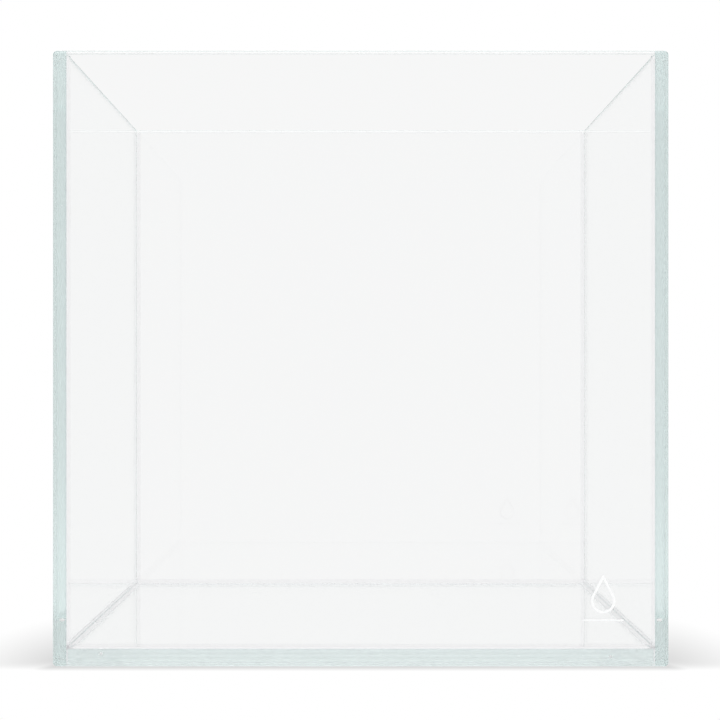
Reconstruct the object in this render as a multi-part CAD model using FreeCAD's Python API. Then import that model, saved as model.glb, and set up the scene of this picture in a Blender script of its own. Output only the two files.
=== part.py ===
import FreeCAD, Part
import os
from FreeCAD import Vector

# Rimless open-top glass aquarium, a 300 mm cube of five float-glass panels.
# Millimetres, +Z up, front faces -Y, origin on the ground under the centre.
# The front and back panels run the full width. The side panels stand between
# them, and the base lies inside all four walls, flush with their lower edges.

# Driving dimensions
tank_width = 300.0  # along X, over the side panels
tank_depth = 300.0  # along Y, over the front and back panels
tank_height = 300.0  # along Z, ground to rim
wall_glass = 6.0  # thickness of the four walls
base_glass = 8.0  # thickness of the base
arris = 1.5  # 45 degree flat ground round both faces of the front and back panels
seam = 0.5  # the same on the side panels and the base, whose edges are bonded
corner_round = 2.0  # radius of the front and back panels' corners
seam_round = 0.8  # radius of the side panels' and the base's corners
bond_film = 0.5  # silicone film between two panels
wall_seal_leg = 2.2  # how far a corner seal reaches along each wall
base_seal_leg = 2.6  # how far a base seal reaches up the wall and over the base
seal_hollow = 0.22  # how deep a seal's face is hollowed, as a share of its leg
mark_film = 0.1  # thickness of the frosted film mark on the front panel
mark_centre_x = 118.0
mark_centre_z = 32.0
drop_radius = 6.0  # round end of the drop outline
drop_tip_height = 13.0  # tip of the drop above the centre of its round end
drop_line = 1.2  # width of the drawn line
water_line_length = 20.0  # plain line under the drop
water_line_width = 0.8
water_line_gap = 3.0  # clear space between the drop and the line

# Places that follow from them
half_width = tank_width / 2
half_depth = tank_depth / 2
inner_x = half_width - wall_glass  # inner face of a side panel
inner_y = half_depth - wall_glass  # inner face of the front or back panel
side_end_y = inner_y - bond_film  # end face of a side panel
base_edge_x = inner_x - bond_film  # edge face of the base
base_edge_y = inner_y - bond_film
straight_low = corner_round  # lowest and highest point of a panel's straight ends
straight_high = tank_height - corner_round


def box_between(low, high):
    size = [b - a for a, b in zip(low, high)]
    return Part.makeBox(size[0], size[1], size[2], Vector(*low))


def glass_panel(low, high, ground, radius):
    """A plate with four rounded corners and both its faces ground back round
    their edges."""
    size = [b - a for a, b in zip(low, high)]
    across = size.index(min(size))  # the axis that runs through the thickness

    def runs_through(edge):
        start, end = [vertex.Point[across] for vertex in edge.Vertexes]
        return abs(start - end) > arris

    plate = box_between(low, high)
    plate = plate.makeFillet(radius, [e for e in plate.Edges if runs_through(e)])
    return plate.makeChamfer(ground, [e for e in plate.Edges if not runs_through(e)])


def polygon_face(points):
    return Part.Face(Part.makePolygon([Vector(*p) for p in points + points[:1]]))


def seal_face(path, wall_end, base_end, leg):
    """A seal's section: straight sides along path, then one hollow face from
    the path's last point back to its first. wall_end and base_end give the
    directions in which the seal reaches along the two glass faces."""
    first, last = Vector(*path[0]), Vector(*path[-1])
    outward = (Vector(*wall_end) + Vector(*base_end)).normalize()
    middle = (first + last) * 0.5 - outward * (seal_hollow * leg)
    edges = [Part.makeLine(Vector(*a), Vector(*b)) for a, b in zip(path, path[1:])]
    edges.append(Part.Arc(last, middle, first).toShape())
    return Part.Face(Part.Wire(edges))


def front_panel():
    low, high = (-half_width, -half_depth, 0), (half_width, -inner_y, tank_height)
    return glass_panel(low, high, arris, corner_round)


def back_panel():
    low, high = (-half_width, inner_y, 0), (half_width, half_depth, tank_height)
    return glass_panel(low, high, arris, corner_round)


def left_panel():
    low, high = (-half_width, -side_end_y, 0), (-inner_x, side_end_y, tank_height)
    return glass_panel(low, high, seam, seam_round)


def right_panel():
    low, high = (inner_x, -side_end_y, 0), (half_width, side_end_y, tank_height)
    return glass_panel(low, high, seam, seam_round)


def base_panel():
    low, high = (-base_edge_x, -base_edge_y, 0), (base_edge_x, base_edge_y, base_glass)
    return glass_panel(low, high, seam, seam_round)


def corner_bond():
    """Front left film, between the left panel's end and the front panel."""
    return box_between(
        (-half_width + arris, -inner_y, straight_low),
        (-inner_x - seam, -side_end_y, straight_high),
    )


def front_base_bond():
    end = base_edge_x - seam_round
    return box_between((-end, -inner_y, arris), (end, -base_edge_y, base_glass - seam))


def left_base_bond():
    end = base_edge_y - seam_round
    return box_between((-inner_x, -end, arris), (-base_edge_x, end, base_glass - seam))


def base_seal(length_axis, inner_a, inner_b):
    """The seal between the base and one wall, drawn along the wall at
    -inner_b, running along length_axis between the walls at +-inner_a.
    Its ends are mitred where it meets the seals of the two other walls."""
    reach = bond_film + base_seal_leg
    profile = [
        (0, base_glass + base_seal_leg),
        (0, base_glass - seam),
        (bond_film, base_glass - seam),
        (bond_film + seam, base_glass),
        (reach, base_glass),
    ]
    if length_axis == "x":
        path = [(-inner_a, -inner_b + u, z) for u, z in profile]
        along, inward = Vector(1, 0, 0), (0, 1, 0)
    else:
        path = [(-inner_b + u, -inner_a, z) for u, z in profile]
        along, inward = Vector(0, 1, 0), (1, 0, 0)
    bar = seal_face(path, (0, 0, 1), inward, base_seal_leg).extrude(along * (2 * inner_a))
    low, high = base_glass - 2 * arris, base_glass + 2 * base_seal_leg
    outline = [(-inner_a, -inner_b), (inner_a, -inner_b)]
    outline += [(inner_a - 2 * reach, -inner_b + 2 * reach)]
    outline += [(-inner_a + 2 * reach, -inner_b + 2 * reach)]
    if length_axis == "y":
        outline = [(b, a) for a, b in outline]
    mitre = polygon_face([(x, y, low) for x, y in outline])
    return bar.common(mitre.extrude(Vector(0, 0, high - low)))


def corner_seal(neighbours):
    """Front left inner corner: the seal up the corner, and the silicone that
    fills the gap round the base's corner below it. neighbours are the panels
    and base seals that it is pressed against."""
    bond_x = -inner_x - seam  # inner end of the corner's bond film
    profile = [
        (-inner_x, -side_end_y + wall_seal_leg),
        (-inner_x, -side_end_y + seam),
        (bond_x, -side_end_y),
        (bond_x, -inner_y),
        (-inner_x + wall_seal_leg, -inner_y),
    ]
    path = [(x, y, base_glass) for x, y in profile]
    face = seal_face(path, (0, 1, 0), (1, 0, 0), wall_seal_leg)
    bead = face.extrude(Vector(0, 0, straight_high - base_glass))
    gap_x, gap_y = -base_edge_x + seam_round, -base_edge_y + seam_round
    outline = [(bond_x, -inner_y), (gap_x, -inner_y), (gap_x, -base_edge_y)]
    outline += [(-base_edge_x, gap_y), (-inner_x, gap_y), (bond_x, -side_end_y)]
    filling = polygon_face([(x, y, straight_low) for x, y in outline])
    filling = filling.extrude(Vector(0, 0, base_glass - straight_low))
    return bead.fuse(filling).removeSplitter().cut(neighbours).removeSplitter()


def frosted_mark():
    """A plain drop outline over a short level line, cut from thin film."""

    def drop(radius, tip):
        # the drop's sides are the two tangents from its tip to its round end
        touch_z = radius * radius / tip
        touch_x = (radius * radius - touch_z * touch_z) ** 0.5
        left, right = Vector(-touch_x, 0, touch_z), Vector(touch_x, 0, touch_z)
        top = Vector(0, 0, tip)
        round_end = Part.Arc(right, Vector(0, 0, -radius), left).toShape()
        return Part.Face(Part.Wire([round_end, Part.makeLine(left, top), Part.makeLine(top, right)]))

    shrink = 1 - drop_line / drop_radius
    outline = drop(drop_radius, drop_tip_height).cut(drop(drop_radius * shrink, drop_tip_height * shrink))
    drop_solid = outline.extrude(Vector(0, -mark_film, 0))
    line_top = -drop_radius - water_line_gap
    line_solid = box_between(
        (-water_line_length / 2, -mark_film, line_top - water_line_width),
        (water_line_length / 2, 0, line_top),
    )
    mark = Part.makeCompound([drop_solid, line_solid])
    mark.translate(Vector(mark_centre_x, -half_depth, mark_centre_z))
    return mark


def mirrored(shape, across_x, across_y):
    """The shape copied over to another corner of the tank."""
    if across_x:
        shape = shape.mirror(Vector(0, 0, 0), Vector(1, 0, 0))
    if across_y:
        shape = shape.mirror(Vector(0, 0, 0), Vector(0, 1, 0))
    return shape


def build_parts():
    parts = {
        "front_panel": front_panel(),
        "back_panel": back_panel(),
        "left_panel": left_panel(),
        "right_panel": right_panel(),
        "base_panel": base_panel(),
        "frosted_mark": frosted_mark(),
    }
    front_seal = base_seal("x", inner_x, inner_y)
    left_seal = base_seal("y", inner_y, inner_x)
    neighbours = [parts["left_panel"], parts["base_panel"], front_seal, left_seal]
    bond, seal = corner_bond(), corner_seal(neighbours)
    for name, across in {"front": False, "back": True}.items():
        parts[f"{name}_base_bond"] = mirrored(front_base_bond(), False, across)
        parts[f"{name}_base_seal"] = mirrored(front_seal, False, across)
    for name, across in {"left": False, "right": True}.items():
        parts[f"{name}_base_bond"] = mirrored(left_base_bond(), across, False)
        parts[f"{name}_base_seal"] = mirrored(left_seal, across, False)
    for end, across_y in {"front": False, "back": True}.items():
        for side, across_x in {"left": False, "right": True}.items():
            parts[f"{end}_{side}_corner_bond"] = mirrored(bond, across_x, across_y)
            parts[f"{end}_{side}_corner_seal"] = mirrored(seal, across_x, across_y)
    return parts


os.makedirs("parts", exist_ok=True)
for name, shape in build_parts().items():
    shape.exportStep(f"parts/{name}.step")
    print(f"{name}: {len(shape.Solids)} solid, {shape.Volume:.1f} mm3, valid {shape.isValid()}")
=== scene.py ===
import math

import bpy
import numpy as np
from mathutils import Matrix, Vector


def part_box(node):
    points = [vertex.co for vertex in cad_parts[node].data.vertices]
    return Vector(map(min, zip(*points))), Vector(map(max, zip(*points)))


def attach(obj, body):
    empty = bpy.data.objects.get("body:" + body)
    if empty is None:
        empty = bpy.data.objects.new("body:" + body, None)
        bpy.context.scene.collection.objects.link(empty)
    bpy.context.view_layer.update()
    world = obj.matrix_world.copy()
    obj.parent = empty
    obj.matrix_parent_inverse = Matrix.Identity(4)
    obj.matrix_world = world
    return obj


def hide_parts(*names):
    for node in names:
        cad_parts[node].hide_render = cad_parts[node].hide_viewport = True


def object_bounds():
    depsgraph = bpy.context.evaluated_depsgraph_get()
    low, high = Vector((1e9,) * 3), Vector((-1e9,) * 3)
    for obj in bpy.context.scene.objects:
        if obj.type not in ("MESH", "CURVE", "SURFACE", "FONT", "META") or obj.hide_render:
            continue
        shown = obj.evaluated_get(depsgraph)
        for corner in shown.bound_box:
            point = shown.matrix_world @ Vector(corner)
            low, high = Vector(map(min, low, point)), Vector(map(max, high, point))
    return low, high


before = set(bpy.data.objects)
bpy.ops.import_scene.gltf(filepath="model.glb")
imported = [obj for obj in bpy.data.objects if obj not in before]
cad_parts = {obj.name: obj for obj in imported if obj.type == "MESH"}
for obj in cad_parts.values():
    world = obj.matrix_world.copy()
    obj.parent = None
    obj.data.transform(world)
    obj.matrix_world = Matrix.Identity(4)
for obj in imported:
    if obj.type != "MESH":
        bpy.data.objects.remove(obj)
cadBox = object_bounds()

mm = 0.001
hair = 0.06 * mm  # air left between silicone and glass, so that no two faces coincide
sharpAngle = math.radians(28)  # round faces that meet at more than this keep a sharp line

# the tank's own sizes, read off its panels
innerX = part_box("right_panel")[0][0]
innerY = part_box("back_panel")[0][1]
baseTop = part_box("base_panel")[1][2]
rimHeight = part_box("front_panel")[1][2]
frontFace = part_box("front_panel")[0][1]
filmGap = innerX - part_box("base_panel")[1][0]  # silicone film between two panels


# wander: the mean of a few sine waves, whole numbers of them over a turn of 0 to 1
def wander(turn, seed, most=9, waves=6):
    draw = np.random.default_rng(seed)
    counts = draw.integers(1, most + 1, waves)
    starts = draw.uniform(0, 2 * np.pi, waves)
    return np.sin(2 * np.pi * np.asarray(turn)[..., None] * counts + starts).mean(-1)


# rings is rings x points x 3: every ring is a closed loop, neighbours are joined by quads,
# and the first and last are capped. Its volume's sign says which way the faces point.
def closedSurface(rings):
    ringCount, count = rings.shape[:2]
    here = np.arange(count)
    after = (here + 1) % count
    starts = np.arange(ringCount - 1)[:, None] * count
    quads = np.stack([starts + here, starts + after, starts + count + after, starts + count + here], -1)
    quads = quads.reshape(-1, 4)
    caps = [here[::-1], here + (ringCount - 1) * count]
    points = rings.reshape(-1, 3)
    centre = points.mean(0)
    a, b, c, d = [points[quads[:, i]] - centre for i in range(4)]
    volume = (np.cross(a, b) * c).sum() + (np.cross(a, c) * d).sum()
    for cap in caps:
        fan = points[cap] - centre
        volume += (np.cross(fan[1:-1], fan[2:]) * fan[0]).sum()
    if volume < 0:
        quads, caps = quads[:, ::-1], [cap[::-1] for cap in caps]
    return points, quads, caps


# shells of one piece, each as closedSurface gives it, put into one mesh. Those from number
# `firstRound` on are shaded round, up to sharpAngle between two faces, and the rest flat;
# `skins` is each shell's material.
def makePiece(name, shells, uvs=None, firstRound=0, skins=None):
    points, faces, sizes, owners, base = [], [], [], [], 0
    for i, (shellPoints, quads, caps) in enumerate(shells):
        points.append(shellPoints)
        faces += [quads.reshape(-1) + base] + [cap + base for cap in caps]
        sizes += [np.full(len(quads), 4)] + [np.array([len(cap)]) for cap in caps]
        owners.append(np.full(len(quads) + len(caps), i))
        base += len(shellPoints)
    points, faces, sizes, owners = [np.concatenate(x) for x in (points, faces, sizes, owners)]
    mesh = bpy.data.meshes.new(name)
    mesh.vertices.add(len(points))
    mesh.vertices.foreach_set("co", points.astype(np.float32).ravel())
    mesh.loops.add(len(faces))
    mesh.loops.foreach_set("vertex_index", faces.astype(np.int32))
    mesh.polygons.add(len(sizes))
    mesh.polygons.foreach_set("loop_start", (np.cumsum(sizes) - sizes).astype(np.int32))
    if skins is not None:
        mesh.polygons.foreach_set("material_index", np.array(skins, np.int32)[owners])
    mesh.polygons.foreach_set("use_smooth", owners >= firstRound)
    mesh.update(calc_edges=True)
    mesh.set_sharp_from_angle(angle=sharpAngle)
    if uvs is not None:
        layer = mesh.uv_layers.new(name="edgeMap")
        layer.data.foreach_set("uv", uvs(faces, sizes).astype(np.float32).ravel())
    mesh.validate()
    piece = bpy.data.objects.new(name, mesh)
    bpy.context.scene.collection.objects.link(piece)
    return piece


def finishPiece(piece, nodes, slot, *materials):
    for material in materials:
        piece.data.materials.append(material)
    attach(piece, "root")
    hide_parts(*nodes)


panelLook = {
    "arris": 1.5 * mm,  # 45 degree flat ground along both faces of the front and back
    "seam": 0.5 * mm,  # the same on the side panels and the base
    "cornerRound": 2.0 * mm,
    "seamRound": 0.8 * mm,
    "softening": 0.12 * mm,  # how far the polishing wheel eases each sharp line
    "wander": 0.03,  # how much an arris's width strays, as a share of it
    "step": 2.5 * mm,  # between points along a straight edge
    "cornerSteps": 20,
    "faceStart": 0.98,  # where the section starts on the face, as a share of the corner's radius
    "flatWithin": 0.04,  # points less far in than this share of the arris are on the flat end
    "wettedFrom": 0.72,  # how nearly an end has to face along a bonded axis to be wetted
}


# a corner line (N x corners x 2) eased: each corner becomes a short parabola, from a point
# `reach` before it to one `reach` after it
def easedLine(corners, reach, steps=4):
    eased = [corners[:, :1]]
    for i in range(1, corners.shape[1] - 1):
        before, at, after = corners[:, i - 1], corners[:, i], corners[:, i + 1]
        start = at + reach * (before - at) / np.linalg.norm(before - at, axis=-1, keepdims=True)
        end = at + reach * (after - at) / np.linalg.norm(after - at, axis=-1, keepdims=True)
        t = np.linspace(0, 1, steps)[None, :, None]
        eased.append((1 - t) ** 2 * start[:, None] + 2 * t * (1 - t) * at[:, None] + t * t * end[:, None])
    return np.concatenate(eased + [corners[:, -1:]], 1)


# a plate's edge: its section (face, arris, flat end, arris, face) carried round an outline
# with rounded corners. A point is core + (corner radius - inset) * outward, at a depth.
# Sides whose ends lie along a bonded axis are wetted by silicone, so they show no grinding.
def panelSurface(name, node, seed, material, bonded=()):
    look = panelLook
    low, high = [np.array(corner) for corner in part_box(node)]
    size = high - low
    through = int(np.argmin(size))
    across = [axis for axis in range(3) if axis != through]
    middle = (low + high) / 2
    radius, arris = [look[key] for key in (("seamRound", "seam") if bonded else ("cornerRound", "arris"))]
    half = size[across] / 2 - radius
    corners = half * np.array([(1, 1), (-1, 1), (-1, -1), (1, -1)])
    core, outward = [], []
    for i in range(4):
        angles = (i + np.linspace(0, 1, look["cornerSteps"])) * np.pi / 2
        core.append(np.repeat(corners[i:i + 1], len(angles), 0))
        outward.append(np.stack([np.cos(angles), np.sin(angles)], -1))
        run = corners[(i + 1) % 4] - corners[i]
        steps = int(np.abs(run).max() / look["step"])
        core.append(corners[i] + run * (np.arange(1, steps) / steps)[:, None])
        outward.append(np.repeat(outward[-1][-1:], steps - 1, 0))
    core, outward = np.concatenate(core), np.concatenate(outward)
    rim = core + radius * outward
    gone = np.concatenate([[0], np.cumsum(np.linalg.norm(np.diff(rim, axis=0), axis=1))])
    turn = gone / (gone[-1] + look["step"])
    nearArris = arris * (1 + look["wander"] * wander(turn, seed, most=23, waves=9))
    farArris = arris * (1 + look["wander"] * wander(turn, seed + 1, most=23, waves=9))
    depth = size[through]
    zero = np.zeros_like(turn)
    face = radius * look["faceStart"]
    line = np.stack([
        np.stack([face + zero, zero], -1),
        np.stack([nearArris, zero], -1),
        np.stack([zero, nearArris], -1),
        np.stack([zero, depth - farArris], -1),
        np.stack([farArris, zero + depth], -1),
        np.stack([face + zero, zero + depth], -1),
    ], 1)
    line = easedLine(line, min(look["softening"], arris / 4))
    flat = core[:, None] + (radius - line[..., :1]) * outward[:, None]
    points = np.empty(line.shape[:2] + (3,))
    points[..., across[0]] = middle[across[0]] + flat[..., 0]
    points[..., across[1]] = middle[across[1]] + flat[..., 1]
    points[..., through] = low[through] + line[..., 1]
    # v is 0 to 1 from the middle of the flat end, 1 to 2 over an arris, 2 to 3 on a face and 4
    # on a wetted side
    inset, offMiddle = line[0, :, 0], line[0, :, 1] - depth / 2
    onFlat = np.minimum(np.abs(offMiddle) / (depth / 2 - arris), 1)
    onArris = np.minimum(1 + inset / arris, 2 + (inset - arris) / radius)
    v = np.sign(offMiddle) * np.where(inset < look["flatWithin"] * arris, onFlat, onArris)
    wetted = np.zeros(len(turn), bool)
    for axis in bonded:
        wetted |= np.abs(outward[:, across.index(axis)]) > look["wettedFrom"]

    def edgeMap(faces, sizes):
        loopFace = np.repeat(np.arange(len(sizes)), sizes)
        ring, place = np.divmod(faces, len(turn))
        onQuad = sizes[loopFace] == 4
        uv = np.stack([gone[place], np.where(wetted[place], 4, v[ring])], -1)
        crossing = np.zeros(len(sizes), bool)
        np.logical_or.at(crossing, loopFace, onQuad & (place == len(turn) - 1))
        uv[onQuad & (place == 0) & crossing[loopFace], 0] = gone[-1] + look["step"]
        uv[~onQuad] = (0, 3)
        return uv

    piece = makePiece(name, [closedSurface(points.transpose(1, 0, 2))], edgeMap, firstRound=1)
    finishPiece(piece, [node], "clear_glass", material)


sealLook = {
    "hollow": 0.22,  # depth of the hollow face, as a share of the leg
    "lip": 0.05 * mm,  # thickness left at the feathered edges
    "wander": 0.02,  # how much a leg strays, as a share of it
    "faceSteps": 14,
    "step": 3.0 * mm,
    "wallLeg": 2.2 * mm,
    "baseLeg": 2.6 * mm,
    "calmEnds": 4,  # the straying has its full size this far in: a larger number, nearer the ends
    "diagonal": 0.7071,  # of the direction halfway between the two legs, each way
}


# a seal's section, as p off the panel that runs through and q off the panel that butts
# on to it. The hollow face is a parabola between the two feathered edges, and the rest
# follows the two faces and the butting panel's arris, a hair clear of them.
def sealSection(legP, legQ, hollow):
    seam = panelLook["seam"]
    lip, steps = sealLook["lip"], sealLook["faceSteps"]
    shape = np.broadcast(legP, legQ).shape

    def full(p, q):
        return np.stack([np.broadcast_to(p, shape), np.broadcast_to(q, shape)], -1)

    onWall = full(hair + lip, legQ)
    onBase = full(filmGap + legP, hair + lip)
    pull = (onWall + onBase) / 2 - 2 * hollow * sealLook["wallLeg"] * sealLook["diagonal"]
    t = np.linspace(0, 1, steps)[:, None]
    face = (1 - t) ** 2 * onBase[..., None, :] + 2 * t * (1 - t) * pull[..., None, :]
    face = face + t * t * onWall[..., None, :]
    rest = [
        full(hair, legQ - lip / 2),
        full(hair, hair - seam),
        full(filmGap - hair / 2, hair - seam),
        full(filmGap + seam - hair / 2, hair),
        full(filmGap + legP - lip / 2, hair),
    ]
    return np.concatenate([face, np.stack(rest, -2)], -2)


# how high a base seal's hollow face stands at a distance off the wall, read between its points
def sealHeights():
    section = sealSection(np.array(sealLook["baseLeg"]), np.array(sealLook["baseLeg"]), sealLook["hollow"])
    face = section[: sealLook["faceSteps"]][::-1]
    return lambda off: np.interp(off, face[:, 0], face[:, 1])


# a seal's two legs along its length: leg * (1 + wander share * calm * wander). calm is 0 at
# the ends, which keep their size where seals meet, and 1 between them.
def strayingLegs(leg, turn, seed):
    calm = np.clip(np.sin(np.pi * turn) * sealLook["calmEnds"], 0, 1)
    legP = leg * (1 + sealLook["wander"] * calm * wander(turn, seed, most=31, waves=8))
    legQ = leg * (1 + sealLook["wander"] * calm * wander(turn, seed + 1, most=31, waves=8))
    return legP, legQ


# the section carried along the foot of one wall, its ends mitred to the next two seals
def baseSeal(name, node, wall, seed, material):
    inner = innerY if wall[0] == 0 else innerX
    length = innerX if wall[0] == 0 else innerY
    stations = int(2 * length / sealLook["step"])
    turn = np.linspace(0, 1, stations)
    legP, legQ = strayingLegs(sealLook["baseLeg"], turn, seed)
    section = sealSection(legP, legQ, sealLook["hollow"])
    off, up = section[..., 0], section[..., 1]
    along = (2 * turn[:, None] - 1) * (length - 2 * hair - np.maximum(off, 0))
    toWall = inner - off
    x = wall[0] * toWall + (1 - abs(wall[0])) * along
    y = wall[1] * toWall + (1 - abs(wall[1])) * along
    piece = makePiece(name, [closedSurface(np.stack([x, y, baseTop + up], -1))])
    finishPiece(piece, [node], "clear_silicone", material)


# the section carried up one corner; its foot follows the two base seals' hollow faces
def cornerSeal(name, node, sideX, sideY, seed, material):
    low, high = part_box(node)
    stations = int((high[2] - baseTop) / sealLook["step"])
    turn = np.linspace(0, 1, stations)
    legP, legQ = strayingLegs(sealLook["wallLeg"], turn, seed)
    section = sealSection(legP, legQ, sealLook["hollow"])
    p, q = section[..., 0], section[..., 1]
    height = sealHeights()
    foot = baseTop + np.maximum(height(np.maximum(p, 0)), height(np.maximum(q, 0))) + 2 * hair
    z = foot + (high[2] - foot) * turn[:, None]
    bead = np.stack([sideX * (innerX - q), sideY * (innerY - p), z], -1)
    piece = makePiece(name, [closedSurface(bead), cornerFilling(sideX, sideY, low[2])])
    finishPiece(piece, [node], "clear_silicone", material)


# the silicone round the base's own rounded corner, below the seals: an outline that
# follows the two walls, the side panel's arris and a quarter circle round the base
def cornerFilling(sideX, sideY, bottom, steps=9):
    seam, radius = panelLook["seam"], panelLook["seamRound"]
    inX, inY = innerX - hair, innerY - hair
    centreX, centreY = innerX - filmGap - radius, innerY - filmGap - radius
    angles = np.linspace(0, np.pi / 2, steps)
    reach = radius + hair
    quarter = np.stack([centreX + reach * np.cos(angles), centreY + reach * np.sin(angles)], -1)
    outline = np.array([
        (innerX + seam - hair, inY),
        (centreX + hair, inY),
        *quarter[::-1],
        (inX, centreY + hair),
        (inX, innerY - filmGap - seam),
        (innerX + seam - hair, innerY - filmGap + hair),
    ])
    heights = np.array([bottom, baseTop - seam - hair])
    rings = np.empty((2, len(outline), 3))
    rings[..., 0], rings[..., 1] = sideX * outline[:, 0], sideY * outline[:, 1]
    rings[..., 2] = heights[:, None]
    return closedSurface(rings)


bondLook = {
    "round": 0.12 * mm,
    "roundSteps": 6,
    "wander": 0.16 * mm,  # how far in the film's edges stray
    "wanderMean": 0.6,  # of that, what they keep to, and what they swing by either way
    "wanderSwing": 0.4,
    "step": 2.0 * mm,
    "bubbleFlat": 0.30,  # a bubble's half thickness as a share of the film
    "strayBubbles": 5,
    "strayRadius": (0.08 * mm, 0.20 * mm),
    "strayMargin": (4.0 * mm, 0.8 * mm),  # kept clear at the film's ends and along its edges
    # place along the film and across it, and half lengths the same two ways
    "baseBubbles": [
        (-127.0 * mm, 5.6 * mm, 0.85 * mm, 0.8 * mm),
        (122.2 * mm, 4.2 * mm, 0.7 * mm, 0.7 * mm),
    ],
    "cornerBubble": (22.2 * mm, 146.05 * mm, 0.75 * mm, 1.4 * mm),
}


# a film between two panels: a flat section with rounded ends, carried along its length,
# with bubbles, which are flattened balls
def bondFilm(name, node, seed, materials, bubbles=()):
    look = bondLook
    low, high = [np.array(corner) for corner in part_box(node)]
    size = high - low
    thin, along = int(np.argmin(size)), int(np.argmax(size))
    wide = 3 - thin - along
    stations = int(size[along] / look["step"])
    turn = np.linspace(0, 1, stations)
    halfThick = size[thin] / 2 - hair
    swing = look["wanderSwing"]
    lowStray = look["wanderMean"] + swing * wander(turn, seed, most=40, waves=9)
    highStray = look["wanderMean"] + swing * wander(turn, seed + 1, most=40, waves=9)
    edgeLow = low[wide] + look["wander"] * lowStray
    edgeHigh = high[wide] - look["wander"] * highStray
    steps = look["roundSteps"]
    angles = np.linspace(-np.pi / 2, np.pi / 2, steps)
    reach, lift = np.cos(angles) * look["round"], np.sin(angles) * halfThick
    rings = np.empty((stations, 2 * steps, 3))
    rings[..., along] = (low[along] + hair + (size[along] - 2 * hair) * turn)[:, None]
    rings[:, :steps, wide] = edgeHigh[:, None] - look["round"] + reach
    rings[:, steps:, wide] = edgeLow[:, None] + look["round"] - reach
    rings[..., thin] = (low[thin] + high[thin]) / 2 + np.concatenate([lift, -lift])
    shells = [closedSurface(rings)]
    draw = np.random.default_rng(seed + 2)
    spots = list(bubbles)
    endMargin, sideMargin = look["strayMargin"]
    for _ in range(look["strayBubbles"]):
        a = draw.uniform(low[along] + endMargin, high[along] - endMargin)
        b = draw.uniform(low[wide] + sideMargin, high[wide] - sideMargin)
        spots.append((a, b) + (draw.uniform(*look["strayRadius"]),) * 2)
    for a, b, lengthwise, crosswise in spots:
        centre = np.zeros(3)
        centre[along], centre[wide], centre[thin] = a, b, (low[thin] + high[thin]) / 2
        radii = np.zeros(3)
        radii[along], radii[wide] = lengthwise, crosswise
        radii[thin] = min(look["bubbleFlat"] * size[thin], lengthwise, crosswise)
        shells.append(ballSurface(centre, radii))
    piece = makePiece(name, shells, firstRound=1, skins=[0] + [1] * len(spots))
    finishPiece(piece, [node], "clear_silicone", *materials)


# a ball stretched to three radii: rings of latitude, closed at each pole by a small cap, which
# takes in the angle `pole`
def ballSurface(centre, radii, rings=9, points=16, pole=0.06):
    tilt = np.linspace(pole, np.pi - pole, rings)[:, None]
    spin = np.linspace(0, 2 * np.pi, points, endpoint=False)[None]
    x, y = np.sin(tilt) * np.cos(spin), np.sin(tilt) * np.sin(spin)
    unit = np.stack([x, y, np.cos(tilt) + 0 * spin], -1)
    return closedSurface(centre + unit * radii)


markLook = {
    "dropRadius": 6.0 * mm,
    "tipHeight": 13.0 * mm,
    "line": 1.2 * mm,
    "lineLength": 20.0 * mm,
    "lineWidth": 0.8 * mm,
    "lineGap": 3.0 * mm,
    "barSteps": 40,
    "soft": 0.03 * mm,  # how far the film's cut edge slopes
    "stand": 0.03 * mm,  # air left behind the film
}


# a drop's outline: the round end from one tangent point to the other, then straight to the
# tip. Its width is inset along lines to the round end's centre.
def dropLoop(radius, tip, roundSteps=64, sideSteps=14):
    touch = math.asin(radius / tip)
    angles = np.linspace(touch, -np.pi - touch, roundSteps)
    arc = radius * np.stack([np.cos(angles), np.sin(angles)], -1)
    steps = np.linspace(0, 1, sideSteps)[1:, None]
    top = np.array([0.0, tip])
    up, down = arc[-1] + (top - arc[-1]) * steps, top + (arc[0] - top) * steps
    return np.concatenate([arc, up, down[:-1]])


# the drop's outline at two sizes, in front and behind, makes a band, and the level line is a bar
# with round ends: a circle whose two halves are moved apart
def frostedMark(name, node, material):
    look = markLook
    low, high = [np.array(corner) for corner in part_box(node)]
    centreX = (low[0] + high[0]) / 2
    centreZ = high[2] - look["tipHeight"]
    front, back = low[1], high[1] - look["stand"]
    outer = dropLoop(look["dropRadius"], look["tipHeight"])
    shrink = 1 - look["line"] / look["dropRadius"]
    slope = look["soft"] / look["dropRadius"]
    # four loops round the line's section: outer back, outer front, inner front, inner back
    loops = [(1, back), (1 - slope, front), (shrink + slope, front), (shrink, back)]
    rings = np.stack([
        np.stack([centreX + s * outer[:, 0], np.full(len(outer), y), centreZ + s * outer[:, 1]], -1)
        for s, y in loops
    ], 1)
    drop = ringSurface(rings)
    halfLength, halfWidth = look["lineLength"] / 2, look["lineWidth"] / 2
    lineZ = centreZ - look["dropRadius"] - look["lineGap"] - halfWidth
    angles = np.linspace(0, 2 * np.pi, look["barSteps"], endpoint=False)
    reach = np.where(np.cos(angles) >= 0, 1, -1) * (halfLength - halfWidth)
    bars = []
    for inset, y in [(0, back), (look["soft"], front)]:
        x = centreX + reach + (halfWidth - inset) * np.cos(angles)
        z = lineZ + (halfWidth - inset) * np.sin(angles)
        bars.append(np.stack([x, np.full(len(x), y), z], -1))
    piece = makePiece(name, [drop, closedSurface(np.stack(bars))])
    finishPiece(piece, [node], "frosted_film", material)


# a section carried round a closed path: quads both ways round, so there is nothing to cap
def ringSurface(rings):
    stations, count = rings.shape[:2]
    i, j = np.meshgrid(np.arange(stations) * count, np.arange(count), indexing="ij")
    nextI, nextJ = (i + count) % (stations * count), (j + 1) % count
    quads = np.stack([i + j, nextI + j, nextI + nextJ, i + nextJ], -1).reshape(-1, 4)
    points = rings.reshape(-1, 3)
    a, b, c, d = [points[quads[:, k]] - points.mean(0) for k in range(4)]
    if (np.cross(a, b) * c).sum() + (np.cross(a, c) * d).sum() < 0:
        quads = quads[:, ::-1]
    return points, quads, []


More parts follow.
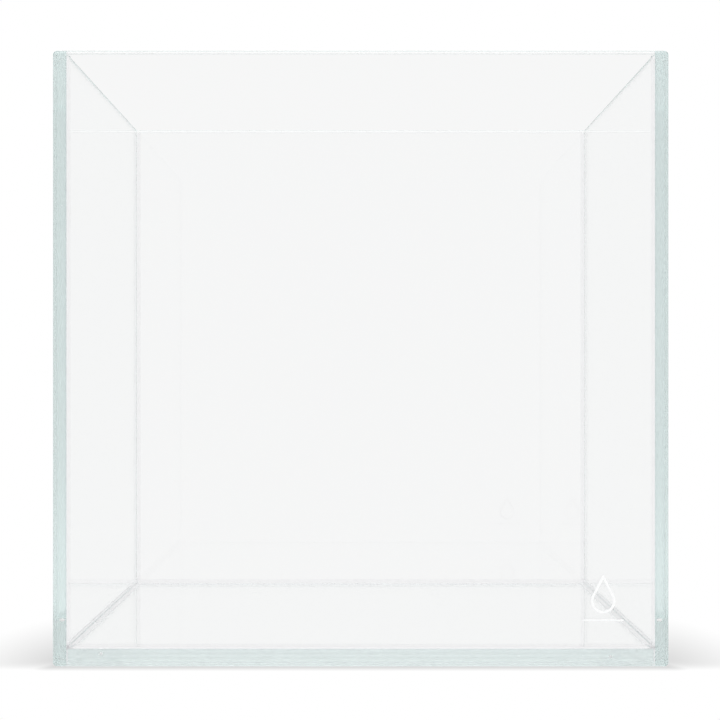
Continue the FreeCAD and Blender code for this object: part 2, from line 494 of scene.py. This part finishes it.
def newMaterial(name):
    material = bpy.data.materials.new(name)
    material.use_nodes = True
    return material, material.node_tree, material.node_tree.nodes["Principled BSDF"]


def addNode(tree, kind, **inputs):
    node = tree.nodes.new(kind)
    for key, value in inputs.items():
        node.inputs[key].default_value = value
    return node


def mathNode(tree, operation, a, b=None, c=None, clamp=False):
    node = tree.nodes.new("ShaderNodeMath")
    node.operation, node.use_clamp = operation, clamp
    for socket, value in zip(node.inputs, (a, b, c)):
        if isinstance(value, bpy.types.NodeSocket):
            tree.links.new(value, socket)
        elif value is not None:
            socket.default_value = value
    return node.outputs[0]


def newGroup(name, inputs, outputs):
    group = bpy.data.node_groups.new(name, "ShaderNodeTree")
    for label, kind, value in inputs:
        socket = group.interface.new_socket(label, in_out="INPUT", socket_type=kind)
        if value is not None:
            socket.default_value = value
    for label, kind in outputs:
        group.interface.new_socket(label, in_out="OUTPUT", socket_type=kind)
    return group, group.nodes.new("NodeGroupInput"), group.nodes.new("NodeGroupOutput")


# a node group placed in a material, with some of its inputs set
def placeGroup(tree, group, vector, values=()):
    node = tree.nodes.new("ShaderNodeGroup")
    node.node_tree = group
    tree.links.new(vector, node.inputs["Vector"])
    for label, value in dict(values).items():
        node.inputs[label].default_value = value
    return node


# base colour: the low tone up to the first value of toneSpan, the high one past the second
def mixTones(tree, shader, value, look):
    tones = tree.nodes.new("ShaderNodeValToRGB")
    for i, tone in enumerate(("low", "high")):
        tones.color_ramp.elements[i].position = look["toneSpan"][i]
        tones.color_ramp.elements[i].color = look[tone]
    tree.links.new(value, tones.inputs["Fac"])
    tree.links.new(tones.outputs["Color"], shader.inputs["Base Color"])


def addBump(tree, shader, height, look):
    bump = addNode(tree, "ShaderNodeBump", Strength=look["bump"], Distance=look["bumpDepth"])
    tree.links.new(height, bump.inputs["Height"])
    tree.links.new(bump.outputs["Normal"], shader.inputs["Normal"])


handlingLook = {
    "patchFrom": 0.46,  # values of the cloud noise where a patch begins and is at its strongest
    "patchTo": 0.72,
}


# handling marks: soft patches where a hand or cloth has been, broken up by fine streaks.
# Mask is smoothstep(patches) * streaks * Amount, and Height is the streaks.
def handlingGroup():
    group, given, result = newGroup(
        "handlingMarks",
        [("Vector", "NodeSocketVector", None), ("Patch Scale", "NodeSocketFloat", 9.0),
         ("Streak Scale", "NodeSocketFloat", 160.0), ("Amount", "NodeSocketFloat", 1.0)],
        [("Mask", "NodeSocketFloat"), ("Height", "NodeSocketFloat")],
    )
    patches = addNode(group, "ShaderNodeTexNoise", Detail=3.0, Roughness=0.55, Distortion=0.6)
    streaks = addNode(group, "ShaderNodeTexNoise", Detail=2.0, Roughness=0.5, Distortion=1.4)
    for noise, scale in ((patches, "Patch Scale"), (streaks, "Streak Scale")):
        group.links.new(given.outputs["Vector"], noise.inputs["Vector"])
        group.links.new(given.outputs[scale], noise.inputs["Scale"])
    shaped = group.nodes.new("ShaderNodeMapRange")
    shaped.interpolation_type = "SMOOTHSTEP"
    shaped.inputs["From Min"].default_value = handlingLook["patchFrom"]
    shaped.inputs["From Max"].default_value = handlingLook["patchTo"]
    group.links.new(patches.outputs["Fac"], shaped.inputs["Value"])
    broken = mathNode(group, "MULTIPLY", shaped.outputs["Result"], streaks.outputs["Fac"])
    mask = mathNode(group, "MULTIPLY", broken, given.outputs["Amount"], clamp=True)
    group.links.new(mask, result.inputs["Mask"])
    group.links.new(streaks.outputs["Fac"], result.inputs["Height"])
    return group


grindLook = {
    "streaksAlong": 60.0,  # how fast the streak noise runs along an edge, per metre
    "streakHeight": 0.01,
    "chatterAcross": 0.4,  # how fast the chatter noise runs across it, per step of v
    "fadeSpeed": 2.0,  # how fast the bump fades out towards the face; 2 takes half the arris
    "wettedFrom": 3.5,
}


# grinding: fine streaks along an edge, and the wheel's chatter marks across it, which are noise
# along x + y + z + Slant * v. Edge is |v| < 2, Arris is that with |v| > 1, and Wetted is
# |v| > wettedFrom. Height is (streaks * streakHeight + (chatter - 0.5) * Chatter) times a fade,
# (2 - |v|) * fadeSpeed, kept between 0 and 1.
def grindingGroup():
    group, given, result = newGroup(
        "edgeGrinding",
        [("Edge Map", "NodeSocketVector", None), ("Vector", "NodeSocketVector", None),
         ("Streak Scale", "NodeSocketFloat", 9.0), ("Chatter Scale", "NodeSocketFloat", 48.0),
         ("Chatter", "NodeSocketFloat", 1.0), ("Slant", "NodeSocketFloat", 0.008)],
        [("Edge", "NodeSocketFloat"), ("Arris", "NodeSocketFloat"), ("Wetted", "NodeSocketFloat"),
         ("Height", "NodeSocketFloat")],
    )
    split = group.nodes.new("ShaderNodeSeparateXYZ")
    group.links.new(given.outputs["Edge Map"], split.inputs[0])
    u, v = split.outputs["X"], split.outputs["Y"]
    off = mathNode(group, "ABSOLUTE", v)
    edge = mathNode(group, "LESS_THAN", off, 2.0)
    arris = mathNode(group, "MULTIPLY", mathNode(group, "GREATER_THAN", off, 1.0), edge)
    streakPlace = group.nodes.new("ShaderNodeCombineXYZ")
    group.links.new(mathNode(group, "MULTIPLY", u, grindLook["streaksAlong"]), streakPlace.inputs["X"])
    across = mathNode(group, "MULTIPLY", v, given.outputs["Streak Scale"])
    group.links.new(across, streakPlace.inputs["Y"])
    spot = group.nodes.new("ShaderNodeSeparateXYZ")
    group.links.new(given.outputs["Vector"], spot.inputs[0])
    flat = mathNode(group, "ADD", spot.outputs["X"], spot.outputs["Y"])
    along = mathNode(group, "ADD", flat, spot.outputs["Z"])
    slanted = mathNode(group, "MULTIPLY_ADD", v, given.outputs["Slant"], along)
    chatterPlace = group.nodes.new("ShaderNodeCombineXYZ")
    scaled = mathNode(group, "MULTIPLY", slanted, given.outputs["Chatter Scale"])
    group.links.new(scaled, chatterPlace.inputs["X"])
    turned = mathNode(group, "MULTIPLY", v, grindLook["chatterAcross"])
    group.links.new(turned, chatterPlace.inputs["Y"])
    heights = []
    for place, detail in ((streakPlace, 4.0), (chatterPlace, 2.0)):
        noise = addNode(group, "ShaderNodeTexNoise", Scale=1.0, Detail=detail, Roughness=0.6)
        group.links.new(place.outputs[0], noise.inputs["Vector"])
        heights.append(noise.outputs["Fac"])
    streaks = mathNode(group, "MULTIPLY", heights[0], grindLook["streakHeight"])
    waves = mathNode(group, "SUBTRACT", heights[1], 0.5)
    height = mathNode(group, "MULTIPLY_ADD", waves, given.outputs["Chatter"], streaks)
    left = mathNode(group, "SUBTRACT", 2.0, off)
    fade = mathNode(group, "MULTIPLY", left, grindLook["fadeSpeed"], clamp=True)
    group.links.new(mathNode(group, "MULTIPLY", height, fade), result.inputs["Height"])
    group.links.new(edge, result.inputs["Edge"])
    group.links.new(arris, result.inputs["Arris"])
    wetted = mathNode(group, "GREATER_THAN", off, grindLook["wettedFrom"])
    group.links.new(wetted, result.inputs["Wetted"])
    return group


glassLook = {
    "ior": 1.52,
    "faceRoughness": 0.0,
    "markRoughness": 0.02,  # where it has been handled
    "endRoughness": 0.02,
    "arrisRoughness": 0.16,
    "wettedRoughness": 0.07,  # ends pressed into silicone
    "absorption": (0.694, 0.806, 0.7985),
    "density": 4.0,
    "chatter": 0.05,
    "slant": 0.008,  # how far a chatter mark slants over half the flat end
    "bump": 0.8,
    "bumpDepth": 0.1 * mm,
}
# the side panels' ends show more chatter, and the base is paler, with rougher bonded ends. The base's
# paler glass is painted light: its lower absorption density stands in for the light the base takes in from
# the bright ground under it.
sideLook = {**glassLook, "chatter": 2.2, "arrisRoughness": 0.3}
leftLook = {**sideLook, "slant": -0.008}
baseLook = {**glassLook, "density": 2.9, "wettedRoughness": 0.18}


# glass roughness: face + handling mask * mark off the edge + edge mask * end
# + arris mask * (arris - end) + wetted mask * wetted
def glassMaterial(name, look, handling, grinding):
    material, tree, shader = newMaterial(name)
    shader.inputs["Base Color"].default_value = (1, 1, 1, 1)
    shader.inputs["IOR"].default_value = look["ior"]
    shader.inputs["Transmission Weight"].default_value = 1.0
    place = tree.nodes.new("ShaderNodeTexCoord")
    edgeMap = tree.nodes.new("ShaderNodeUVMap")
    edgeMap.uv_map = "edgeMap"
    marks = placeGroup(tree, handling, place.outputs["Object"])
    wheel = {"Chatter": look["chatter"], "Slant": look["slant"]}
    grind = placeGroup(tree, grinding, place.outputs["Object"], wheel)
    tree.links.new(edgeMap.outputs["UV"], grind.inputs["Edge Map"])
    onFace = mathNode(tree, "SUBTRACT", 1.0, grind.outputs["Edge"])
    handled = mathNode(tree, "MULTIPLY", marks.outputs["Mask"], onFace)
    arrisMore = look["arrisRoughness"] - look["endRoughness"]
    rough = mathNode(tree, "MULTIPLY_ADD", handled, look["markRoughness"], look["faceRoughness"])
    rough = mathNode(tree, "MULTIPLY_ADD", grind.outputs["Edge"], look["endRoughness"], rough)
    rough = mathNode(tree, "MULTIPLY_ADD", grind.outputs["Arris"], arrisMore, rough)
    rough = mathNode(tree, "MULTIPLY_ADD", grind.outputs["Wetted"], look["wettedRoughness"], rough)
    tree.links.new(rough, shader.inputs["Roughness"])
    addBump(tree, shader, grind.outputs["Height"], look)
    inside = addNode(tree, "ShaderNodeVolumeAbsorption", Density=look["density"])
    inside.inputs["Color"].default_value = (*look["absorption"], 1)
    output = tree.nodes["Material Output"]
    tree.links.new(inside.outputs["Volume"], output.inputs["Volume"])
    return material


siliconeLook = {
    "low": (0.935, 0.931, 0.94, 1),
    "high": (0.972, 0.969, 0.975, 1),
    "ior": 1.1,  # it is pressed to the glass, so it bends light less than it would by itself
    "transmission": 1.0,
    "roughness": (0.05, 0.12),
    "cloudScale": 420.0,
    "toneSpan": (0.35, 0.65),
    "marks": {"Patch Scale": 60.0, "Streak Scale": 700.0},
    "bump": 0.1,
    "bumpDepth": 0.05 * mm,
}
bondFinish = {
    **siliconeLook,
    "ior": 1.2,
    "low": (0.996, 0.998, 0.998, 1),
    "high": (1.0, 1.0, 1.0, 1),
    "roughness": (0.0, 0.02),
    "bump": 0.04,
}


# silicone colour: two tones mixed by fine cloud noise; roughness ranges with the marks
def siliconeMaterial(name, look, handling):
    material, tree, shader = newMaterial(name)
    shader.inputs["IOR"].default_value = look["ior"]
    shader.inputs["Transmission Weight"].default_value = look["transmission"]
    place = tree.nodes.new("ShaderNodeTexCoord")
    cloud = addNode(tree, "ShaderNodeTexNoise", Scale=look["cloudScale"], Detail=4.0, Roughness=0.6)
    tree.links.new(place.outputs["Object"], cloud.inputs["Vector"])
    mixTones(tree, shader, cloud.outputs["Fac"], look)
    marks = placeGroup(tree, handling, place.outputs["Object"], look["marks"])
    least, most = look["roughness"]
    rough = mathNode(tree, "MULTIPLY_ADD", marks.outputs["Mask"], most - least, least)
    tree.links.new(rough, shader.inputs["Roughness"])
    addBump(tree, shader, marks.outputs["Height"], look)
    return material


filmLook = {
    "low": (0.84, 0.85, 0.85, 1),
    "high": (0.93, 0.935, 0.935, 1),
    "toneSpan": (0.3, 0.6),
    "grainScale": 2600.0,
    "roughness": 0.62,
    "rubbed": 0.2,  # how much smoother it is where it has been handled
    "bump": 0.5,
    "bumpDepth": 0.02 * mm,
    "metallic": 0.0,
}
bubbleLook = {  # a bubble throws back nearly all the light that meets its wall
    **filmLook,
    "low": (0.97, 0.99, 0.985, 1),
    "high": (1.0, 1.0, 1.0, 1),
    "grainScale": 1500.0,
    "roughness": 0.35,
    "bump": 0.2,
    "metallic": 1.0,
}


# film colour: two whites mixed by a fine grain, which also makes its bump; roughness less
# handling mask * rubbed
def filmMaterial(name, look, handling):
    material, tree, shader = newMaterial(name)
    shader.inputs["Metallic"].default_value = look["metallic"]
    place = tree.nodes.new("ShaderNodeTexCoord")
    grain = addNode(tree, "ShaderNodeTexNoise", Scale=look["grainScale"], Detail=3.0, Roughness=0.7)
    tree.links.new(place.outputs["Object"], grain.inputs["Vector"])
    mixTones(tree, shader, grain.outputs["Fac"], look)
    marks = placeGroup(tree, handling, place.outputs["Object"])
    rough = mathNode(tree, "MULTIPLY_ADD", marks.outputs["Mask"], -look["rubbed"], look["roughness"])
    tree.links.new(rough, shader.inputs["Roughness"])
    addBump(tree, shader, grain.outputs["Fac"], look)
    return material


studioLook = {
    "paper": 1.0,  # brightness of the ground and backdrop as the camera sees them
    "spill": 0.932,  # and as the glass sees them
    "overhead": 1.3,
    "softbox": 1.8,
    "skySteps": (0.0, 0.30, 0.55, 0.80, 0.90),  # heights at which spill gives way to the next two
    "floorDrop": 0.3 * mm,  # the ground lies this far under the glass
    "floorReach": 30.0,
    "shade": 0.30,  # how much darker the ground is right beside the tank
    "falloff": 1.25,
    "darkest": -122 * mm,  # how far back the shade is deepest
    "sideReach": 56 * mm,
    "backReach": 188 * mm,
    "frontReach": 37 * mm,
    "contact": 0.29,  # and how much darker it is right along the tank's foot
    "contactReach": 11.5 * mm,
    "glassShare": 0.45,  # of it that shows through the glass, in front of the tank only
    "longFrom": 8.0,  # a ray this many bounces deep has come along a panel, wholly so longSpan later
    "longSpan": 5.0,
    "skyFall": 0.35,  # such rays see this much less light from straight above
    "floorRise": 0.22,  # and this much more from the ground under the tank
    "riseReach": 0.9,  # distance over which that fades to about a third
}


# contact shade: shade * (1 - spread) ^ falloff, where spread is the root of (side / sideReach)^2
# + (behind / backReach)^2 + (ahead / frontReach)^4, or contact * (1 - distance / contactReach)
# where that is more. The camera sees all of it, and the glass a share of the contact part in
# front. Rays that came along a panel also see floorRise * exp(-away / riseReach) * longPath more.
def floorMaterial(name, look):
    material, tree, shader = newMaterial(name)
    place = tree.nodes.new("ShaderNodeTexCoord")
    split = tree.nodes.new("ShaderNodeSeparateXYZ")
    tree.links.new(place.outputs["Object"], split.inputs[0])
    x, y = split.outputs["X"], split.outputs["Y"]
    offs = [
        mathNode(tree, "SUBTRACT", mathNode(tree, "ABSOLUTE", x), cadBox[1][0]),
        mathNode(tree, "SUBTRACT", frontFace, y),
        mathNode(tree, "SUBTRACT", y, cadBox[1][1]),
        mathNode(tree, "SUBTRACT", y, look["darkest"]),
        mathNode(tree, "SUBTRACT", look["darkest"], y),
    ]
    side, front, back, behind, ahead = [mathNode(tree, "MAXIMUM", off, 0.0) for off in offs]

    def ratioPower(off, reach, power):
        return mathNode(tree, "POWER", mathNode(tree, "DIVIDE", off, reach), power)

    square = ratioPower(side, look["sideReach"], 2.0)
    square = mathNode(tree, "ADD", square, ratioPower(behind, look["backReach"], 2.0))
    square = mathNode(tree, "ADD", square, ratioPower(ahead, look["frontReach"], 4.0))
    spread = mathNode(tree, "SQRT", square, clamp=True)
    near = mathNode(tree, "POWER", mathNode(tree, "SUBTRACT", 1.0, spread), look["falloff"])
    endwise = mathNode(tree, "ADD", front, back)
    foot = mathNode(tree, "ADD", ratioPower(side, 1.0, 2.0), ratioPower(endwise, 1.0, 2.0))
    distance = mathNode(tree, "SQRT", foot)
    touching = mathNode(tree, "MULTIPLY_ADD", distance, -1 / look["contactReach"], 1.0, clamp=True)
    touching = mathNode(tree, "MULTIPLY", touching, look["contact"])
    shade = mathNode(tree, "MAXIMUM", mathNode(tree, "MULTIPLY", near, look["shade"]), touching)
    inFront = mathNode(tree, "GREATER_THAN", front, 0.0)
    shared = mathNode(tree, "MULTIPLY", touching, look["glassShare"])
    unseen = mathNode(tree, "MULTIPLY", shared, inFront)
    square = mathNode(tree, "ADD", ratioPower(x, 1.0, 2.0), ratioPower(y, 1.0, 2.0))
    away = mathNode(tree, "SQRT", square)
    fading = mathNode(tree, "EXPONENT", mathNode(tree, "DIVIDE", away, -look["riseReach"]))
    rise = mathNode(tree, "MULTIPLY", fading, look["floorRise"])
    unseen = mathNode(tree, "SUBTRACT", unseen, mathNode(tree, "MULTIPLY", rise, longPath(tree)))
    path = tree.nodes.new("ShaderNodeLightPath")
    mix = tree.nodes.new("ShaderNodeMix")
    tree.links.new(path.outputs["Is Camera Ray"], mix.inputs["Factor"])
    tree.links.new(mathNode(tree, "SUBTRACT", look["spill"], unseen), mix.inputs["A"])
    tree.links.new(mathNode(tree, "SUBTRACT", look["paper"], shade), mix.inputs["B"])
    glow = tree.nodes.new("ShaderNodeEmission")
    tree.links.new(mix.outputs["Result"], glow.inputs["Strength"])
    tree.links.new(glow.outputs[0], tree.nodes["Material Output"].inputs["Surface"])
    tree.nodes.remove(shader)
    return material


def makeFloor(look):
    reach, z = look["floorReach"], -look["floorDrop"]
    mesh = bpy.data.meshes.new("studioFloor")
    corners = [(-reach, -reach, z), (reach, -reach, z), (reach, reach, z), (-reach, reach, z)]
    mesh.from_pydata(corners, [], [(0, 1, 2, 3)])
    floor = bpy.data.objects.new("studioFloor", mesh)
    bpy.context.scene.collection.objects.link(floor)
    mesh.materials.append(floorMaterial("studioPaper", look))


# how deep in the glass a ray already is: 0 through a panel or two, 1 along a panel's length
def longPath(tree):
    path = tree.nodes.new("ShaderNodeLightPath")
    deep = mathNode(tree, "SUBTRACT", path.outputs["Ray Depth"], studioLook["longFrom"])
    return mathNode(tree, "DIVIDE", deep, studioLook["longSpan"], clamp=True)


# the room's brightness by height: even round the horizon, brighter above it, and a softbox
# overhead; the camera itself sees plain white, and rays that came along a panel see
# 1 - skyFall * height * longPath of it
def makeWorld(look):
    world = bpy.data.worlds.new("softRoom")
    bpy.context.scene.world = world
    world.use_nodes = True
    tree = world.node_tree
    place = tree.nodes.new("ShaderNodeTexCoord")
    split = tree.nodes.new("ShaderNodeSeparateXYZ")
    tree.links.new(place.outputs["Generated"], split.inputs[0])
    ramp = tree.nodes.new("ShaderNodeValToRGB")
    levels = [look[key] for key in ("spill", "spill", "overhead", "overhead", "softbox")]
    while len(ramp.color_ramp.elements) < len(levels):
        ramp.color_ramp.elements.new(0.5)
    for element, position, level in zip(ramp.color_ramp.elements, look["skySteps"], levels):
        element.position = position
        element.color = (level, level, level, 1)
    tree.links.new(mathNode(tree, "MAXIMUM", split.outputs["Z"], 0.0), ramp.inputs["Fac"])
    fall = mathNode(tree, "MULTIPLY", split.outputs["Z"], -look["skyFall"])
    level = mathNode(tree, "MULTIPLY_ADD", fall, longPath(tree), 1.0)
    tree.links.new(level, tree.nodes["Background"].inputs["Strength"])
    path = tree.nodes.new("ShaderNodeLightPath")
    mix = tree.nodes.new("ShaderNodeMix")
    mix.data_type = "RGBA"
    tree.links.new(path.outputs["Is Camera Ray"], mix.inputs["Factor"])
    tree.links.new(ramp.outputs["Color"], mix.inputs[6])
    mix.inputs[7].default_value = (look["paper"],) * 3 + (1,)
    tree.links.new(mix.outputs[2], tree.nodes["Background"].inputs["Color"])


lampLook = [
    {"name": "leftSoftbox", "place": (-1.3, -1.2, 1.3), "size": 0.9, "power": 4.0},
    {"name": "rightSoftbox", "place": (1.5, -0.9, 1.1), "size": 0.9, "power": 2.5},
]


def makeLamps():
    target = np.array([0, 0, rimHeight / 2])
    for look in lampLook:
        light = bpy.data.lights.new(look["name"], "AREA")
        light.shape, light.size, light.energy = "DISK", look["size"], look["power"]
        lamp = bpy.data.objects.new(look["name"], light)
        bpy.context.scene.collection.objects.link(lamp)
        lamp.location = look["place"]
        away = np.array(look["place"]) - target
        flat = math.hypot(away[0], away[1])
        lamp.rotation_euler = (math.atan2(flat, away[2]), 0, math.atan2(away[0], -away[1]))
        lamp.visible_camera = False


cameraLook = {
    "standOff": 900 * mm,  # from the front glass
    "height": 141.5 * mm,
    "side": -0.35 * mm,
    "frameWidth": 350.4 * mm,  # what the frame takes in at the front glass
    "riseShift": 0.0222,
    "sensor": 36.0,
}


def makeCamera(look):
    camera = bpy.data.cameras.new("studioCamera")
    camera.sensor_width = look["sensor"]
    camera.lens = look["sensor"] * look["standOff"] / look["frameWidth"]
    camera.shift_y = look["riseShift"]
    eye = bpy.data.objects.new("studioCamera", camera)
    bpy.context.scene.collection.objects.link(eye)
    eye.location = (look["side"], frontFace - look["standOff"], look["height"])
    eye.rotation_euler = (math.pi / 2, 0, 0)
    bpy.context.scene.camera = eye


scene = bpy.context.scene
scene.view_settings.view_transform = "Standard"
mostBounces = 256  # a panel seen end on passes light along it through many bounces off its faces
scene.cycles.max_bounces = mostBounces
scene.cycles.transmission_bounces = mostBounces
scene.cycles.glossy_bounces = mostBounces
scene.cycles.transparent_max_bounces = 16

makeCamera(cameraLook)
makeWorld(studioLook)
makeFloor(studioLook)
makeLamps()
print("studio ready")

handling = handlingGroup()
grinding = grindingGroup()
wallGlass = glassMaterial("wallGlass", glassLook, handling, grinding)
leftGlass = glassMaterial("leftGlass", leftLook, handling, grinding)
rightGlass = glassMaterial("rightGlass", sideLook, handling, grinding)
baseGlass = glassMaterial("baseGlass", baseLook, handling, grinding)
clearSilicone = siliconeMaterial("clearSilicone", siliconeLook, handling)
pressedSilicone = siliconeMaterial("pressedSilicone", bondFinish, handling)
bubbleSkin = filmMaterial("bubbleSkin", bubbleLook, handling)
filmFinishes = [pressedSilicone, bubbleSkin]
frostedFilm = filmMaterial("frostedFilm", filmLook, handling)
print("finishes ready")

panelSurface("frontGlass", "front_panel", 11, wallGlass)
panelSurface("backGlass", "back_panel", 13, wallGlass)
panelSurface("leftGlass", "left_panel", 15, leftGlass, bonded=[1])
panelSurface("rightGlass", "right_panel", 17, rightGlass, bonded=[1])
panelSurface("baseGlass", "base_panel", 19, baseGlass, bonded=[0, 1])
print("glass panels made")

walls = {"front": (0, -1), "back": (0, 1), "left": (-1, 0), "right": (1, 0)}
for i, (side, wall) in enumerate(walls.items()):
    spots = bondLook["baseBubbles"] if side == "front" else ()
    bondFilm(side + "BaseBond", side + "_base_bond", 100 + 3 * i, filmFinishes, spots)
    baseSeal(side + "BaseSeal", side + "_base_seal", wall, 200 + 2 * i, clearSilicone)
for i, (end, sideY) in enumerate({"front": -1, "back": 1}.items()):
    for j, (side, sideX) in enumerate({"left": -1, "right": 1}.items()):
        corner, seed = end + side.capitalize(), 300 + 20 * i + 10 * j
        up, off, tall, broad = bondLook["cornerBubble"]
        spots = [(up, sideX * off, tall, broad)] if end == "front" else ()
        bondFilm(corner + "Bond", f"{end}_{side}_corner_bond", seed, filmFinishes, spots)
        cornerSeal(corner + "Seal", f"{end}_{side}_corner_seal", sideX, sideY, seed + 5, clearSilicone)
print("silicone made")

frostedMark("dropMark", "frosted_mark", frostedFilm)
print("mark made")
